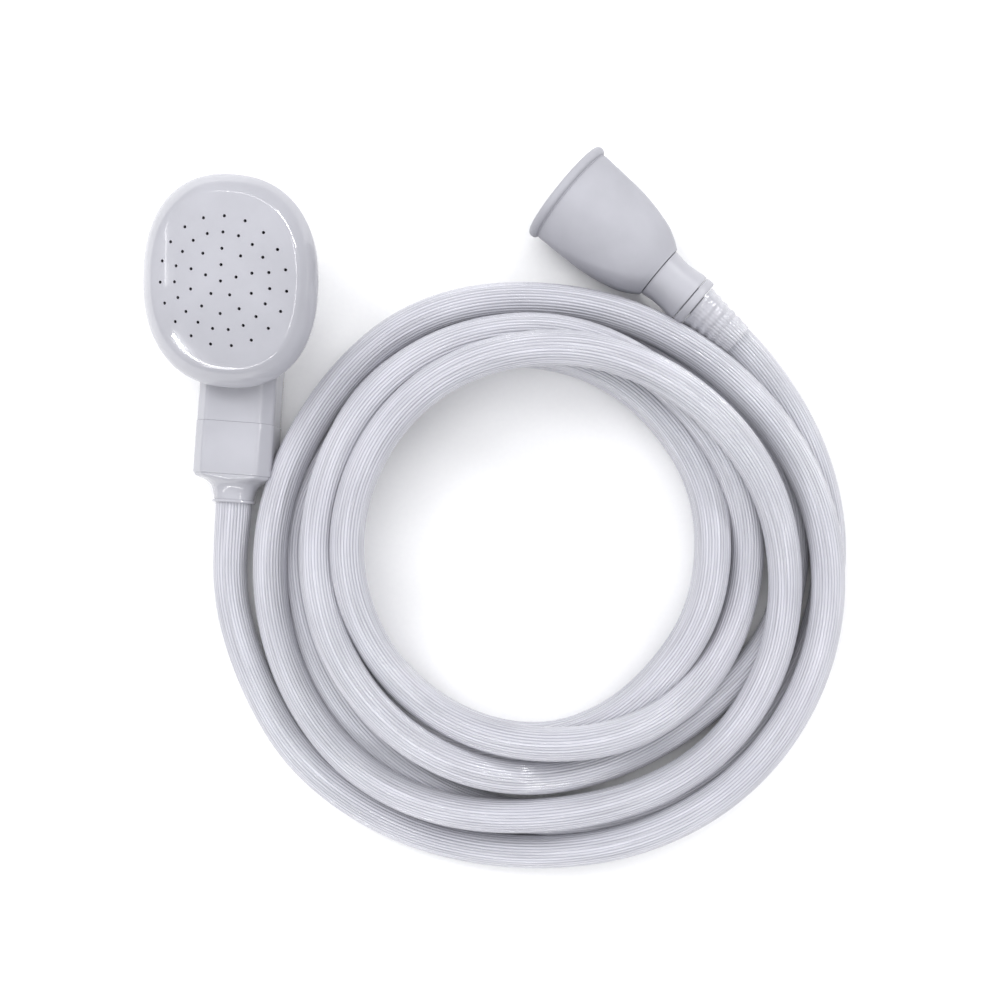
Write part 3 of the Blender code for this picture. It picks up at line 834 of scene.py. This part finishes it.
def make_tap_cup(material):
    """The hollow rubber cup, with a rolled rim."""
    bead = ((20.2, 0.15), (21.2, 0.0), (22.1, 0.35), (22.6, 1.1), (22.7, 2.0), (22.4, 3.0),
            (21.7, 3.6), (20.9, 3.8))
    wall = ((20.8, 4.1), (21.2, 5.6), (20.9, 14.5), (20.4, 25.0), (19.3, 33.0), (18.3, 37.5),
            (16.7, 43.4), (14.2, 48.4), (12.3, 51.2))
    end = ((12.0, 51.7), (11.2, 51.9), (7.2, 51.9))
    inside = ((7.2, 46.2), (11.5, 45.0), (14.6, 40.0), (16.8, 32.0), (18.0, 18.0), (19.0, 6.0),
              (19.5, 1.0))
    return adapter_piece("rubber_cup", ((bead, 4), (wall, 6), (end, 1), (inside, 4)), material,
                         ("tap_cup",))


def make_cup_neck(material):
    """The waisted sleeve between the cup and the connector's flange."""
    outside = ((11.0, 52.2), (10.75, 54), (10.4, 57), (10.3, 60), (10.6, 63.5), (11.0, 66.5),
               (11.15, 68.3))
    ends = ((10.9, 68.65), (7.2, 68.65), (7.2, 52.2))
    return adapter_piece("connector_sleeve", ((outside, 5), (ends, 1)), material,
                         ("cup_neck",))


def make_connector(material):
    """The bored connector: barbs up into the cup, a flange, and barbs down into the hose."""
    barb_up = ((3.2, 45), (5.6, 45), (6.9, 48), (5.8, 48.4), (6.9, 55), (5.8, 55.4), (6.9, 62),
               (5.8, 62.4), (5.8, 68.95))
    flange = ((10.5, 68.95), (11.0, 69.25), (11.2, 70.1), (11.2, 71.7), (11.0, 72.5), (10.5, 72.8))
    barb_down = ((4.4, 72.8), (5.0, 79), (4.4, 79.4), (5.0, 85), (4.4, 85.4), (5.0, 91),
                 (4.2, 92.5), (3.2, 92.5))
    return adapter_piece("flanged_connector", ((barb_up, 1), (flange, 2), (barb_down, 1)), material,
                         ("tap_connector",))


def make_cuff(material):
    """The end of the hose pushed over the barbs: its ribs go on, crossed by crimp ripples."""
    around = HOSE_RIBS * POINTS_PER_RIB
    angles = [math.tau * side / around for side in range(around)]
    grooves = [RIB_DEPTH * max(math.cos(math.tau * side / POINTS_PER_RIB), 0.0)
               for side in range(around)]
    rings = []
    for step in range(CUFF_STEPS + 1):
        share = step / CUFF_STEPS
        fading = math.sin(math.pi * min(1, share * 1.1)) ** 0.6
        ripple = RIPPLE_DEPTH * math.sin(share * RIPPLE_COUNT * math.tau) * fading
        radius = 9.5 - 2.5 * share ** 0.8 + ripple
        depth = 0.35 + 0.65 * share
        distance = CUFF_START + 0.1 + share * (CUFF_END - CUFF_START)
        rings.append([((radius - depth * groove) * math.cos(angle),
                       (radius - depth * groove) * math.sin(angle), -distance)
                      for angle, groove in zip(angles, grooves)])
    for distance in (CUFF_END + 0.1, CUFF_START + 0.1):
        rings.append([(CUFF_BORE * math.cos(angle), CUFF_BORE * math.sin(angle), -distance)
                      for angle in angles])
    mesh = grid_mesh("crimped_cuff", rings, closed_along=True)
    return finish_piece("crimped_cuff", mesh, material, HOSE_SET, ("hose_tap_cuff",),
                        sharp=60, matrix=adapter_frame())


def dress_hidden_nodes(seal, inner, metal, hose):
    """Inner CAD pieces keep their shape and get their finished materials."""
    finishes = {
        "face_gasket": seal, "swivel_o_ring": seal, "swivel_socket": inner, "hose_nipple": inner,
        "collar_clip": metal, "filter_screen": metal, "head_ferrule": metal, "hose_head_end": hose,
    }
    for name, material in finishes.items():
        thing = bpy.data.objects[name]
        for place in thing.material_slots:
            place.material = material


# ---------------------------------------------------------------- all together

def build():
    place_camera()
    place_lights()
    lay_floor()
    lilac = moulded("lilac_plastic", LILAC, 0.13, coat=0.6, grain=0.05, subsurface=0.08)
    rubber = moulded("matte_rubber", RUBBER_GREY, 0.6, grain=0.7, mottling=0.06)
    satin = moulded("satin_plastic", SATIN_GREY, 0.38, grain=0.2)
    seal = moulded("black_rubber", SEAL_BLACK, 0.6, grain=0.5)
    cuff = moulded("clear_pvc", CUFF_GREY, 0.12, coat=1.0, grain=0.1, subsurface=0.15)
    hose_look = hose_material()
    metal = metal_material()
    hose, route, length = make_hose(hose_look)
    make_face_plate(lilac)
    make_rear_shell(lilac)
    make_collar(lilac)
    make_end_cap(lilac)
    fittings = [make_tap_cup(rubber), make_cup_neck(satin), make_connector(satin), make_cuff(cuff)]
    dress_hidden_nodes(seal, satin, metal, hose_look)


build()
